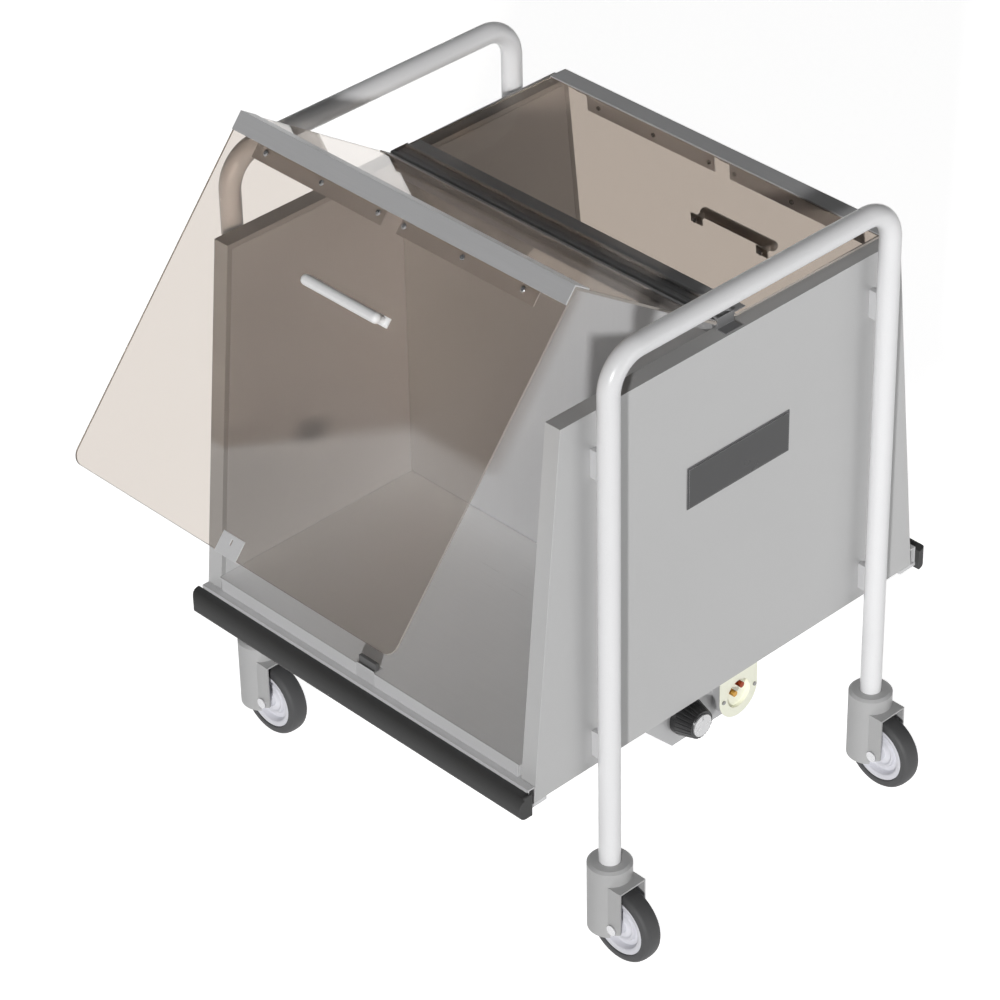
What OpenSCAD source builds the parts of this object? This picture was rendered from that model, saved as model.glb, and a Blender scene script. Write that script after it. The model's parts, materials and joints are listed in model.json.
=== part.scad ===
// Heated storage cart: two insulated end walls, a heated deck between them, a centre beam that carries
// two hinged clear lids, a tube handle frame at each end and four swivel casters.
// Origin on the floor under the middle of the deck. X runs along the cart, Y from front to back, Z up.

/* [End walls] */
// Length over the outer faces of the end walls
body_len = 678; // [640:1:720]
// Thickness of one end wall
wall_t = 28; // [24:1:32]
// Height of the wall tops above the floor
wall_top_z = 890; // [870:1:900]
// Height of the walls' lower edge above the floor
wall_foot_z = 306; // [300:1:312]
// Half of a wall's width at its top
wall_half_top = 331; // [320:1:340]
// How far the walls' foot stands back from the base's front and rear faces
wall_foot_back = 10; // [8:1:14]
// Thickness of the metal skins
skin_t = 1.5; // [1:0.1:2]

/* [Base and deck] */
// Half of the base's width over its front and rear faces
base_half_w = 398; // [396:1:400]
// Height of the ledge behind each bumper
ledge_z = 333; // [328:1:336]
// Height of the heated deck's top
deck_z = 355; // [353:1:360]
// How far the deck's curbs stand back from the base's front and rear faces
curb_back = 11; // [9:1:14]
// Thickness of the base and deck plates
plate_t = 2; // [1.5:0.1:3]
// Thickness of the panel between the two compartments
divider_t = 12; // [8:1:16]

/* [Bumpers] */
// How far a bumper stands out from the base
bumper_deep = 25; // [20:1:28]
// Height of a bumper's section
bumper_h = 33; // [30:1:34]
// Radius of a bumper's outer edges
bumper_r = 14; // [8:1:16]
// Distance from the middle of the cart to a bumper's rounded end
bumper_round_end = 346; // [344:1:354]
// Distance from the middle of the cart to a bumper's flat end
bumper_flat_end = 346; // [340:1:352]

/* [Beam and hinges] */
// Height of the hinge axes above the floor
hinge_z = 905; // [903:1:907]
// Distance of each hinge axis from the middle plane
hinge_y = 14; // [12:1:16]
// Radius of the hinge knuckles
knuckle_r = 3; // [2.6:0.1:3.2]
// Radius of the hinge pins
hinge_pin_r = 1.5; // [1.2:0.1:1.7]
// Number of knuckles along one hinge, fixed and moving together
knuckle_count = 24; // [12:2:36]
// How far the beam and the hinges reach over each end wall
beam_on_wall = 7; // [3:1:9]

/* [Lids] */
// How far a lid reaches over each end wall
lid_on_wall = 11; // [7:1:15]
// Distance of a closed lid's outer edge from the middle plane
lid_corner_y = 336.4; // [336:0.1:338]
// Height of a closed lid's outer edge above the floor
lid_corner_z = 900.2; // [899:0.1:901]
// Gap between the deck and the lower edge of a closed lid
lid_foot_gap = 15.7; // [10:0.1:40]
// Thickness of the clear sheets
sheet_t = 4; // [3:0.1:4]
// Thickness of the metal rail over the lid's outer edge
rail_t = 2; // [1.5:0.1:2]
// How far the front lid stands open
front_open = 34; // [0:1:90]

/* [Handle frames] */
// Outside diameter of the frame tube
tube_d = 31.75; // [28:0.05:34]
// Wall of the frame tube
tube_wall = 2; // [1.5:0.1:3]
// Distance of the legs' axes from the end walls' outer faces
leg_off = 30.3; // [27:0.1:35]
// Distance of the legs from the middle plane
leg_y = 273; // [250:1:290]
// Height of the handle bar's axis
bar_z = 983.3; // [960:0.1:1000]
// Radius of the bends, to the tube's axis
bend_r = 53; // [45:1:70]

/* [Casters] */
// Radius of the wheels
wheel_r = 60; // [55:1:62]
// Width of the tyres
tyre_w = 31; // [26:1:32]
// Distance of the wheel's axle from the swivel axis
trail = 29.5; // [26:0.5:30]
// Height of the caster's head
head_z = 157; // [150:1:160]
// Radius of the caster's head
head_r = 32.7; // [31:0.1:34]

/* [Controls] */
// Radius of the temperature knob
knob_r = 29; // [24:1:32]
// Distance of the knob's axis from the middle plane
knob_y = 70; // [66:1:80]
// Height of the knob's axis above the floor
knob_z = 270; // [264:1:274]

/* [Hidden] */
$fn = 96;
run_fit = 0.05;
seat_gap = 0.3;
cut = 1;

// Walls
outer_x = body_len / 2;
leg_x = outer_x + leg_off;
inner_x = outer_x - wall_t;
wall_half_foot = base_half_w - wall_foot_back;
wall_slope = (wall_half_foot - wall_half_top) / (wall_top_z - wall_foot_z);
wall_lean = atan(wall_slope);
skin_lip = 9;
fit_in_pan = 0.2;

// Deck and base
pan_lip = 6;
pan_half_len = outer_x - wall_t / 2;
upstand_end_gap = 1;
upstand_half_len = outer_x - upstand_end_gap;
foot_from_y = base_half_w - 34;
deck_half_w = base_half_w - curb_back;
ledge_from_y = wall_half(ledge_z - plate_t) + seat_gap;
between_walls = inner_x - seat_gap;
curb_end_gap = 4;
curb_half_len = inner_x - curb_end_gap;
curb_return = 20;
insulation_z = 339;
insulation_half_w = deck_half_w - pan_lip - seat_gap;
insulation_half_len = curb_half_len - plate_t - seat_gap;
element_r = 4;
element_z = insulation_z + element_r + seat_gap;
element_near_y = 110;
element_far_y = 290;
element_in_x = 290;
element_out_x = -190;

// Beam
beam_half_w = 18;
beam_gap = 0.4;
beam_half_len = inner_x + beam_on_wall;
beam_top_z = hinge_z - knuckle_r - beam_gap;
beam_skirt_z = 880;
beam_t = 1.6;
leaf_t = 1.5;
leaf_w = 26;
knuckle_gap = 0.3;
knuckle_clear = 0.6;
knuckle_pitch = 2 * beam_half_len / knuckle_count;
bracket_len = 18;
bracket_half_w = 17;
bracket_rise = 908;

// Lids
lid_half_len = inner_x + lid_on_wall;
front_len = (lid_corner_z - deck_z - lid_foot_gap) / cos(wall_lean);

// Lid section: u runs out from the hinge axis, w runs up; offsets are measured inwards from the rail
lid_corner = [lid_corner_y - hinge_y, lid_corner_z - hinge_z];
top_fall = atan((lid_corner[1] * -1 - 1) / lid_corner[0]);
front_dir = [sin(wall_lean), -cos(wall_lean)];
front_in = [-cos(wall_lean), -sin(wall_lean)];
top_dir = [-cos(top_fall), sin(top_fall)];
top_in = [-sin(top_fall), -cos(top_fall)];
fold = front_in * top_in;
sheet_in = rail_t + sheet_t;
rail_front = 28.5;
rail_top = 31;
top_sheet_u = 4.5;
sheet_corner_r = 18;
strip_t = 2;
strip_from = 15;
strip_end_gap = 50;
strip_to = lid_half_len - strip_end_gap;
strip_front = 50;
strip_top = 28;
screw_x = [25, 136, 248];
screw_s = 36.5;
screw_r = 2;
screw_hole_r = 2.2;
screw_head_r = 4;
nut_r = 3.8;
screw_head_h = 2.2;
nut_h = 3;
grip_x = 65;
grip_half_len = 75;
grip_s = 158;
grip_r = 8;
grip_out = 29;
boss_r = 5.5;
grip_foot = [22, 14, 2.5];
strike_half_w = 21;
strike_reach = 29;
strike_s = front_len - strike_reach;
strike_t = 1.5;
strike_lip = 10;
strike_slot = [8, 3];
strike_slot_s = front_len - 19;

// Bumper ends
bumper_drop = 5;
bumper_top = ledge_z - bumper_drop;
bumper_cap_len = 26;
bumper_plug_len = 4;
bumper_plug_rise = 4;
bumper_plug_deep = 14;

// Catches
catch_half_w = 18;
catch_deep = 18;
catch_plate_t = 1.5;
catch_plate_rise = 3;
pad_rise = 12.5;
pad_deep = 6;
pad_back = 5;
pad_inset = 0.5;

// Handle frames
tube_r = tube_d / 2;
tube_bore = tube_r - tube_wall;
leg_foot_z = 150;
tab_w = 9;
tab_span = [[327, 370], [790, 835]];
bolt_r = 3;
bolt_hole_r = 3.1;
bolt_head_r = 5;
bolt_head_h = 4;
bolt_pocket_r = 6;

// Casters
hood_half_w = 25.4;
nose_x = 44.9;
nose_roof_z = 132;
head_bevel = 4;
hood_foot_z = 40;
cheek_foot = [18, 42];
nose_foot_z = 59;
cheek_t = 2.6;
roof_t = 2.5;
well_half_w = 18.5;
well_top_z = 124;
nose_well_x = 14;
recess_r = 16.4;
recess_z = 146;
stem_r = 8;
stem_head_r = 11;
stem_head_h = 4;
stem_flange_r = 14.5;
stem_top_z = 205;
axle_r = 5;
axle_head_r = 8.5;
axle_head_h = 3;
axle_nut_h = 4;
hub_r = 45.5;
hub_rim_r = 38;
hub_rim_w = 28;
hub_boss_r = 12;
web_t = 8;
shoulder_r = 6;
caster_x = [1, -1, 1, -1];
caster_y = [-1, -1, 1, 1];

// Controls
panel_x = 314;
inlet_face_x = 329;
housing_back_x = 215;
housing_left_y = -146;
housing_foot_z = 223.5;
housing_slope = 55;
housing_top_z = wall_foot_z - plate_t;
inlet_y = 28;
inlet_z = 262;
inlet_r = 38.5;
inlet_body_r = 25;
inlet_recess_r = 23;
inlet_recess = 6;
inlet_depth = 40;
flange_t = 2;
inlet_screw_y = 32;
inlet_screw_r = 3;
inlet_screw_len = 10;
pin_spots = [[0, 18], [-14, 9]];
pin_r = 4.5;
pin_len = 12;
knob_back_x = 316;
knob_rim = 9;
knob_front_x = 351;
knob_front_r = 22;
cap_r = 17.5;
cap_front_x = 353.5;
cap_seat = 2;
rib_count = 24;
rib_r = 1.6;
shaft_r = 3;
shaft_back_x = 300;
thermostat_size = [27, 40, 40];
plate_at = [-93, 645];
plate_size = [203, 68];
nameplate_t = 2.4;
nameplate_step = 3;

function wall_half(z) = wall_half_top + (wall_top_z - z) * wall_slope;

// A point of the lid's section at the given depths under the rail's front face and top face
function meet(front, top) =
    lid_corner + (front * (front_in - fold * top_in) + top * (top_in - fold * front_in)) / (1 - fold * fold);
function on_front(s, depth) = lid_corner + s * front_dir + depth * front_in;
function on_top(s, depth) = lid_corner + s * top_dir + depth * top_in;
function top_length(u) = (lid_corner[0] - u) / cos(top_fall);

// Extrudes a section drawn in Y and Z along X, starting at x
module along_x(x, length) {
    translate([x, 0, 0]) rotate([90, 0, 90]) linear_extrude(length) children();
}

module rod_x(x, length, y, z, r) {
    translate([x, y, z]) rotate([0, 90, 0]) cylinder(r = r, h = length);
}

module rod_y(x, y, length, z, r) {
    translate([x, y, z]) rotate([-90, 0, 0]) cylinder(r = r, h = length);
}

module both_ends() {
    children();
    mirror([1, 0, 0]) children();
}

module both_sides() {
    children();
    mirror([0, 1, 0]) children();
}

module four_corners() {
    both_ends() both_sides() children();
}

// End walls
module wall_outline(inset) {
    side = inset / cos(wall_lean);
    top = wall_top_z - inset;
    foot = wall_foot_z + inset;
    polygon([
        [-wall_half(top) + side, top],
        [wall_half(top) - side, top],
        [wall_half(foot) - side, foot],
        [-wall_half(foot) + side, foot]]);
}

module tab_bolt_holes(r, from_x, to_x) {
    for (span = tab_span)
        both_sides() rod_x(from_x, to_x - from_x, leg_y, (span[0] + span[1]) / 2, r);
}

module outer_skin() {
    color("silver") difference() {
        union() {
            along_x(inner_x, wall_t - skin_t) difference() {
                wall_outline(0);
                wall_outline(skin_t);
            }
            along_x(inner_x, skin_t) difference() {
                wall_outline(0);
                wall_outline(skin_lip);
            }
            along_x(outer_x - skin_t, skin_t) wall_outline(0);
        }
        tab_bolt_holes(bolt_hole_r, outer_x - 2 * skin_t, outer_x + cut);
    }
}

module outer_skin_left() {
    mirror([1, 0, 0]) outer_skin();
}

module outer_skin_right() {
    outer_skin();
}

module wall_liners() {
    color("gainsboro") both_ends() along_x(inner_x, skin_t) wall_outline(skin_lip + fit_in_pan);
}

module insulation() {
    slab_len = wall_t - 2 * skin_t;
    color("khaki") {
        both_ends() difference() {
            along_x(inner_x + skin_t, slab_len) wall_outline(skin_t + fit_in_pan);
            tab_bolt_holes(bolt_pocket_r, outer_x - skin_t - bolt_head_h - cut, outer_x);
        }
        difference() {
            translate([-insulation_half_len, -insulation_half_w, wall_foot_z])
                cube([2 * insulation_half_len, 2 * insulation_half_w, insulation_z - wall_foot_z]);
            catch_pockets();
        }
    }
}

// Base and deck
module base_pan() {
    lip_z = wall_foot_z - pan_lip;
    color("darkgray") {
        translate([-pan_half_len, -base_half_w, wall_foot_z - plate_t])
            cube([2 * pan_half_len, 2 * base_half_w, plate_t]);
        both_sides() {
            translate([-upstand_half_len, base_half_w - plate_t, lip_z])
                cube([2 * upstand_half_len, plate_t, ledge_z - lip_z]);
            translate([-between_walls, deck_half_w - pan_lip, ledge_z - plate_t])
                cube([2 * between_walls, base_half_w - deck_half_w + pan_lip, plate_t]);
            translate([-upstand_half_len, ledge_from_y, ledge_z - plate_t])
                cube([2 * upstand_half_len, base_half_w - ledge_from_y, plate_t]);
            both_ends() translate([pan_half_len - plate_t, foot_from_y, lip_z])
                cube([outer_x - pan_half_len + plate_t, base_half_w - foot_from_y, pan_lip]);
        }
    }
}

module deck_plate() {
    color("silver") difference() {
        union() {
            translate([-between_walls, -deck_half_w, deck_z - plate_t])
                cube([2 * between_walls, 2 * deck_half_w, plate_t]);
            both_sides() translate([-curb_half_len, deck_half_w - plate_t, ledge_z])
                cube([2 * curb_half_len, plate_t, deck_z - ledge_z]);
            four_corners() translate([curb_half_len - plate_t, deck_half_w - curb_return, ledge_z])
                cube([plate_t, curb_return, deck_z - ledge_z]);
        }
        catch_pockets();
        translate([-inner_x, -divider_t / 2 - seat_gap, deck_z - plate_t - cut])
            cube([2 * inner_x, divider_t + 2 * seat_gap, plate_t + 2 * cut]);
    }
}

// Room for the blocks that the lids land on
module catch_pockets() {
    both_sides() translate([-catch_half_w - seat_gap, deck_half_w - catch_deep - seat_gap, ledge_z - cut])
        cube([2 * (catch_half_w + seat_gap), catch_deep + cut, deck_z - ledge_z + 2 * cut]);
}

module heating_element() {
    loop_r = (element_far_y - element_near_y) / 2;
    color("dimgray") both_sides() {
        for (y = [element_near_y, element_far_y])
            rod_x(element_out_x, element_in_x - element_out_x, y, element_z, element_r);
        translate([element_out_x, element_near_y + loop_r, element_z]) rotate([0, 0, 90])
            rotate_extrude(angle = 180) translate([loop_r, 0]) circle(element_r, $fn = 24);
    }
}

module divider() {
    color("gainsboro") translate([-between_walls, -divider_t / 2, insulation_z])
        cube([2 * between_walls, divider_t, beam_top_z - beam_t - insulation_z]);
}

// Centre beam and its hinges
module centre_beam() {
    color("dimgray") {
        translate([-beam_half_len, -beam_half_w, beam_top_z - beam_t])
            cube([2 * beam_half_len, 2 * beam_half_w, beam_t]);
        both_sides() translate([-between_walls, beam_half_w - beam_t, beam_skirt_z])
            cube([2 * between_walls, beam_t, beam_top_z - beam_skirt_z]);
    }
}

module beam_brackets() {
    color("silver") both_ends() {
        translate([beam_half_len, -bracket_half_w, wall_top_z])
            cube([skin_t, 2 * bracket_half_w, bracket_rise - wall_top_z]);
        translate([beam_half_len, -bracket_half_w, wall_top_z])
            cube([bracket_len, 2 * bracket_half_w, skin_t]);
    }
}

// Every second knuckle, starting with the first or the second one
module knuckles(first) {
    for (i = [first : 2 : knuckle_count - 1])
        rod_x(-beam_half_len + i * knuckle_pitch + knuckle_gap / 2, knuckle_pitch - knuckle_gap, 0, 0, knuckle_r);
}

module knuckle_bridges(first, u, length) {
    for (i = [first : 2 : knuckle_count - 1])
        translate([-beam_half_len + i * knuckle_pitch + knuckle_gap / 2, u, -knuckle_r])
            cube([knuckle_pitch - knuckle_gap, length, leaf_t]);
}

module hinge_bore() {
    rod_x(-beam_half_len - cut, 2 * (beam_half_len + cut), 0, 0, hinge_pin_r + run_fit);
}

module fixed_hinge_leaves() {
    reach = knuckle_r + knuckle_clear;
    plate_bottom = beam_top_z - hinge_z;
    color("lightgray") both_sides() translate([0, hinge_y, hinge_z]) difference() {
        union() {
            knuckles(0);
            knuckle_bridges(0, -reach, reach);
            translate([-beam_half_len, seat_gap - hinge_y, plate_bottom])
                cube([2 * beam_half_len, hinge_y - seat_gap - reach, leaf_t - knuckle_r - plate_bottom]);
        }
        hinge_bore();
    }
}

module hinge_pins() {
    color("gray") both_sides() rod_x(-beam_half_len, 2 * beam_half_len, hinge_y, hinge_z, hinge_pin_r);
}

// Lids, drawn closed with the hinge axis as origin and the lid reaching towards +Y
module rear_place() {
    translate([0, hinge_y, hinge_z]) children();
}

module front_place() {
    mirror([0, 1, 0]) translate([0, hinge_y, hinge_z]) rotate([front_open, 0, 0]) children();
}

// In this plane X is along the cart, Y runs down the sloping front and Z points out of it
module front_plane() {
    translate([0, lid_corner[0], lid_corner[1]]) rotate([wall_lean - 90, 0, 0]) children();
}

module front_holes(depth) {
    for (x = screw_x)
        both_ends() translate([x, screw_s, -depth]) cylinder(r = screw_hole_r, h = depth, $fn = 32);
    both_ends() translate([grip_x, grip_s, -depth]) cylinder(r = screw_hole_r, h = depth, $fn = 32);
}

module top_sheet() {
    hinge_side = top_length(top_sheet_u);
    color("rosybrown", 0.4) along_x(-lid_half_len, 2 * lid_half_len)
        polygon([
            meet(sheet_in, rail_t), on_top(hinge_side, rail_t),
            on_top(hinge_side, sheet_in), meet(sheet_in, sheet_in)]);
}

module front_sheet() {
    top_s = (meet(rail_t, rail_t) - lid_corner) * front_dir;
    color("rosybrown", 0.4) front_plane() difference() {
        translate([0, 0, -sheet_in]) linear_extrude(sheet_t) difference() {
            translate([-lid_half_len, top_s]) square([2 * lid_half_len, front_len - top_s]);
            both_ends() translate([lid_half_len - sheet_corner_r, front_len - sheet_corner_r]) difference() {
                square(sheet_corner_r + cut);
                circle(sheet_corner_r);
            }
        }
        front_holes(sheet_in + cut);
    }
}

module corner_rail() {
    color("silver") along_x(-lid_half_len, 2 * lid_half_len)
        polygon([
            meet(0, 0), on_front(rail_front, 0), on_front(rail_front, rail_t),
            meet(rail_t, rail_t), on_top(rail_top, rail_t), on_top(rail_top, 0)]);
}

module clamp_strips() {
    under = sheet_in + strip_t;
    color("gainsboro") difference() {
        both_ends() along_x(strip_from, strip_to - strip_from)
            polygon([
                meet(sheet_in, sheet_in), on_front(strip_front, sheet_in), on_front(strip_front, under),
                meet(under, under), on_top(strip_top, under), on_top(strip_top, sheet_in)]);
        front_plane() front_holes(under + cut);
    }
}

module lid_screws() {
    under = sheet_in + strip_t;
    color("gray") front_plane() both_ends() {
        for (x = screw_x) translate([x, screw_s, 0]) {
            translate([0, 0, -rail_t]) cylinder(r = screw_head_r, h = screw_head_h, $fn = 32);
            translate([0, 0, -under - nut_h]) cylinder(r = screw_r, h = under + nut_h - rail_t, $fn = 32);
            translate([0, 0, -under - nut_h]) cylinder(r = nut_r, h = nut_h, $fn = 6);
        }
        translate([grip_x, grip_s, -sheet_in]) {
            translate([0, 0, -screw_head_h]) cylinder(r = screw_head_r, h = screw_head_h, $fn = 32);
            cylinder(r = screw_r, h = sheet_t + grip_r, $fn = 32);
        }
    }
}

module lid_handle() {
    axis_h = grip_out - grip_r;
    color("silver") front_plane() translate([0, grip_s, -rail_t]) difference() {
        union() {
            rod_x(-grip_half_len + grip_r, 2 * (grip_half_len - grip_r), 0, axis_h, grip_r);
            both_ends() {
                translate([grip_half_len - grip_r, 0, axis_h]) sphere(grip_r);
                translate([grip_x, 0, 0]) cylinder(r = boss_r, h = axis_h);
                translate([grip_x - grip_foot[0] / 2, -grip_foot[1] / 2, 0]) cube(grip_foot);
            }
        }
        both_ends() translate([grip_x, 0, -cut]) cylinder(r = screw_r + run_fit, h = grip_r + cut, $fn = 32);
    }
}

module hinge_leaf() {
    reach = knuckle_r + knuckle_clear;
    color("lightgray") difference() {
        union() {
            knuckles(1);
            knuckle_bridges(1, 0, reach + cut);
            along_x(-beam_half_len, 2 * beam_half_len)
                polygon([
                    on_top(top_length(reach), rail_t), on_top(top_length(reach), rail_t - leaf_t),
                    on_top(top_length(leaf_w), rail_t - leaf_t), on_top(top_length(leaf_w), rail_t)]);
        }
        hinge_bore();
    }
}

module strike_plate() {
    color("silver") front_plane() difference() {
        union() {
            translate([-strike_half_w, strike_s, -rail_t])
                cube([2 * strike_half_w, front_len + strike_t - strike_s, strike_t]);
            translate([-strike_half_w, front_len, -strike_lip])
                cube([2 * strike_half_w, strike_t, strike_lip - rail_t + strike_t]);
        }
        translate([-strike_slot[1] / 2, strike_slot_s - strike_slot[0] / 2, -rail_t - cut])
            cube([strike_slot[1], strike_slot[0], strike_t + 2 * cut]);
    }
}

// Catches on the front and rear curbs
module lid_catches() {
    color("silver") both_sides() {
        translate([-catch_half_w, deck_half_w - catch_deep, ledge_z])
            cube([2 * catch_half_w, catch_deep, deck_z - ledge_z]);
        translate([-catch_half_w, deck_half_w - catch_plate_t, ledge_z])
            cube([2 * catch_half_w, catch_plate_t, deck_z + catch_plate_rise - ledge_z]);
    }
}

module catch_pads() {
    color("black") both_sides()
        translate([pad_inset - catch_half_w, deck_half_w - pad_back - pad_deep, deck_z])
            cube([2 * (catch_half_w - pad_inset), pad_deep, pad_rise]);
}

// Handle frames
module frame_path(r) {
    translate([leg_x, 0, 0]) {
        both_sides() {
            translate([0, leg_y, leg_foot_z]) cylinder(r = r, h = bar_z - bend_r - leg_foot_z);
            translate([0, leg_y - bend_r, bar_z - bend_r]) rotate([90, 0, 90])
                rotate_extrude(angle = 90) translate([bend_r, 0]) circle(r);
        }
        rod_y(0, bend_r - leg_y, 2 * (leg_y - bend_r), bar_z, r);
    }
}

module handle_frame() {
    color("white") difference() {
        frame_path(tube_r);
        frame_path(tube_bore);
        both_sides() translate([leg_x, leg_y, leg_foot_z - cut]) cylinder(r = tube_bore, h = 2 * cut);
        tab_bolt_holes(bolt_hole_r, outer_x, leg_x);
    }
}

module handle_frame_left() {
    mirror([1, 0, 0]) handle_frame();
}

module handle_frame_right() {
    handle_frame();
}

module standoff_tabs() {
    color("silver") both_ends() difference() {
        for (span = tab_span) both_sides()
            translate([outer_x, leg_y - tab_w / 2, span[0]])
                cube([leg_x - tube_r / 2 - outer_x, tab_w, span[1] - span[0]]);
        both_sides() translate([leg_x, leg_y, wall_foot_z])
            cylinder(r = tube_r + run_fit, h = bar_z - wall_foot_z);
        tab_bolt_holes(bolt_hole_r, outer_x - cut, leg_x);
    }
}

module standoff_bolts() {
    head_x = outer_x - skin_t - bolt_head_h;
    color("gray") both_ends() {
        tab_bolt_holes(bolt_head_r, head_x, outer_x - skin_t);
        tab_bolt_holes(bolt_r, head_x, leg_x - tube_r + 2 * tube_wall);
    }
}

// Bumpers
module bumper_outline() {
    edge_y = base_half_w + bumper_deep - bumper_r;
    foot = bumper_top - bumper_h;
    translate([base_half_w, foot]) square([edge_y - base_half_w, bumper_h]);
    translate([base_half_w, foot + bumper_r]) square([bumper_deep, bumper_h - 2 * bumper_r]);
    intersection() {
        translate([base_half_w, foot]) square([bumper_deep, bumper_h]);
        for (z = [foot + bumper_r, bumper_top - bumper_r])
            translate([edge_y, z]) circle(bumper_r);
    }
}

module bumper() {
    cap_from = bumper_round_end - bumper_cap_len;
    color([0.2, 0.2, 0.2]) {
        along_x(-bumper_flat_end, bumper_flat_end + cap_from) bumper_outline();
        translate([-bumper_flat_end, base_half_w, bumper_top - bumper_r])
            cube([bumper_plug_len, bumper_plug_deep, bumper_r + bumper_plug_rise]);
        intersection() {
            along_x(cap_from, bumper_cap_len) bumper_outline();
            translate([cap_from, base_half_w, 0]) cylinder(r = bumper_cap_len, h = bar_z);
        }
    }
}

module bumper_front() {
    rotate([0, 0, 180]) bumper();
}

module bumper_rear() {
    bumper();
}

module nameplate() {
    rim = nameplate_step;
    color("dimgray") translate([outer_x, plate_at[0], plate_at[1]]) {
        cube([nameplate_t / 2, plate_size[0], plate_size[1]]);
        translate([0, rim, rim]) cube([nameplate_t, plate_size[0] - 2 * rim, plate_size[1] - 2 * rim]);
    }
}

// Controls under the right-hand end
module housing_outline(inset) {
    left = housing_left_y + inset;
    foot = housing_foot_z + inset;
    slope = housing_slope + inset * (sqrt(2) - 2);
    polygon([
        [left, housing_top_z], [left, foot + slope], [left + slope, foot],
        [inlet_y, foot], [inlet_y, housing_top_z]]);
    inlet_outline(1 + inset);
}

// A round foot with straight sides up to the base
module inlet_outline(inset) {
    r = inlet_r - inset;
    translate([inlet_y, inlet_z]) circle(r);
    translate([inlet_y - r, inlet_z]) square([2 * r, housing_top_z - inlet_z]);
}

module control_housing() {
    depth = panel_x - housing_back_x;
    color("silver") difference() {
        union() {
            along_x(housing_back_x, depth) housing_outline(0);
            along_x(panel_x, inlet_face_x - panel_x) inlet_outline(1);
        }
        along_x(housing_back_x + skin_t, depth - 2 * skin_t) intersection() {
            housing_outline(skin_t);
            translate([housing_left_y, housing_foot_z])
                square([inlet_y + inlet_r - housing_left_y, housing_top_z - skin_t - housing_foot_z]);
        }
        rod_x(panel_x - 2 * skin_t, 3 * skin_t, -knob_y, knob_z, shaft_r + cut);
        rod_x(panel_x - 2 * skin_t, inlet_face_x, inlet_y, inlet_z, inlet_body_r + seat_gap);
        both_screws(inlet_screw_r / 2 + run_fit, inlet_face_x - inlet_screw_len, inlet_screw_len + cut);
    }
}

// The two screws beside the inlet's body
module both_screws(r, x, length) {
    for (side = [-1, 1])
        rod_x(x, length, inlet_y + side * inlet_screw_y, inlet_z, r);
}

module thermostat() {
    size = thermostat_size;
    front = panel_x - skin_t;
    color("ivory") difference() {
        translate([front - size[0], -knob_y - size[1] / 2, knob_z - size[2] / 2]) cube(size);
        rod_x(shaft_back_x - seat_gap, front - shaft_back_x + cut, -knob_y, knob_z, shaft_r + run_fit);
    }
}

module power_inlet() {
    color([0.93, 0.92, 0.82]) difference() {
        union() {
            along_x(inlet_face_x, flange_t) inlet_outline(0);
            rod_x(inlet_face_x - inlet_depth, inlet_depth + flange_t, inlet_y, inlet_z, inlet_body_r);
        }
        rod_x(inlet_face_x + flange_t - inlet_recess, inlet_recess + cut, inlet_y, inlet_z, inlet_recess_r);
        both_screws(inlet_screw_r / 2 + run_fit, inlet_face_x - cut, flange_t + 2 * cut);
    }
}

module inlet_pins() {
    base_x = inlet_face_x + flange_t - inlet_recess;
    color("goldenrod") {
        for (spot = pin_spots)
            rod_x(base_x, pin_len, inlet_y + spot[0], inlet_z + spot[1], pin_r);
        both_screws(inlet_screw_r, inlet_face_x + flange_t, flange_t);
        both_screws(inlet_screw_r / 2, inlet_face_x - inlet_screw_len, inlet_screw_len + flange_t);
    }
}

module knob() {
    grip_len = knob_front_x - knob_back_x - knob_rim;
    taper = atan((knob_r - knob_front_r) / grip_len);
    color([0.12, 0.12, 0.12]) difference() {
        union() {
            rod_x(knob_back_x, knob_rim, -knob_y, knob_z, knob_r);
            translate([knob_back_x + knob_rim, -knob_y, knob_z]) rotate([0, 90, 0])
                cylinder(r1 = knob_r, r2 = knob_front_r, h = grip_len);
            rod_x(shaft_back_x, knob_back_x - shaft_back_x + cut, -knob_y, knob_z, shaft_r);
        }
        for (i = [0 : rib_count - 1]) translate([knob_back_x + knob_rim, -knob_y, knob_z])
            rotate([i * 360 / rib_count, 0, 0]) translate([0, 0, knob_r + rib_r / 2])
                rotate([0, 90 + taper, 0]) cylinder(r = rib_r, h = 2 * grip_len, $fn = 24);
        rod_x(knob_front_x - cap_seat, cap_seat + cut, -knob_y, knob_z, cap_r + run_fit);
    }
}

module knob_cap() {
    pointer = [8, 2, 1];
    seat_x = knob_front_x - cap_seat;
    color("lightgray") difference() {
        rod_x(seat_x, cap_front_x - seat_x, -knob_y, knob_z, cap_r);
        translate([cap_front_x - pointer[2], -knob_y - pointer[1] / 2, knob_z + cap_r - pointer[0]])
            cube([pointer[2] + cut, pointer[1], pointer[0] + cut]);
    }
}

// Casters: number 1 is front right, 2 front left, 3 rear right and 4 rear left
module at_caster(n) {
    translate([caster_x[n - 1] * leg_x, caster_y[n - 1] * leg_y, 0]) children();
}

module caster_stems() {
    color("gray") four_corners() translate([leg_x, leg_y, 0]) {
        translate([0, 0, well_top_z - seat_gap - stem_head_h]) cylinder(r = stem_head_r, h = stem_head_h);
        translate([0, 0, well_top_z - seat_gap - cut]) cylinder(r = stem_r, h = stem_top_z - well_top_z);
        translate([0, 0, recess_z + seat_gap])
            cylinder(r = stem_flange_r, h = leg_foot_z - recess_z - seat_gap);
        translate([0, 0, leg_foot_z - cut]) cylinder(r = tube_bore - run_fit, h = stem_top_z - leg_foot_z + cut);
    }
}

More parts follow.
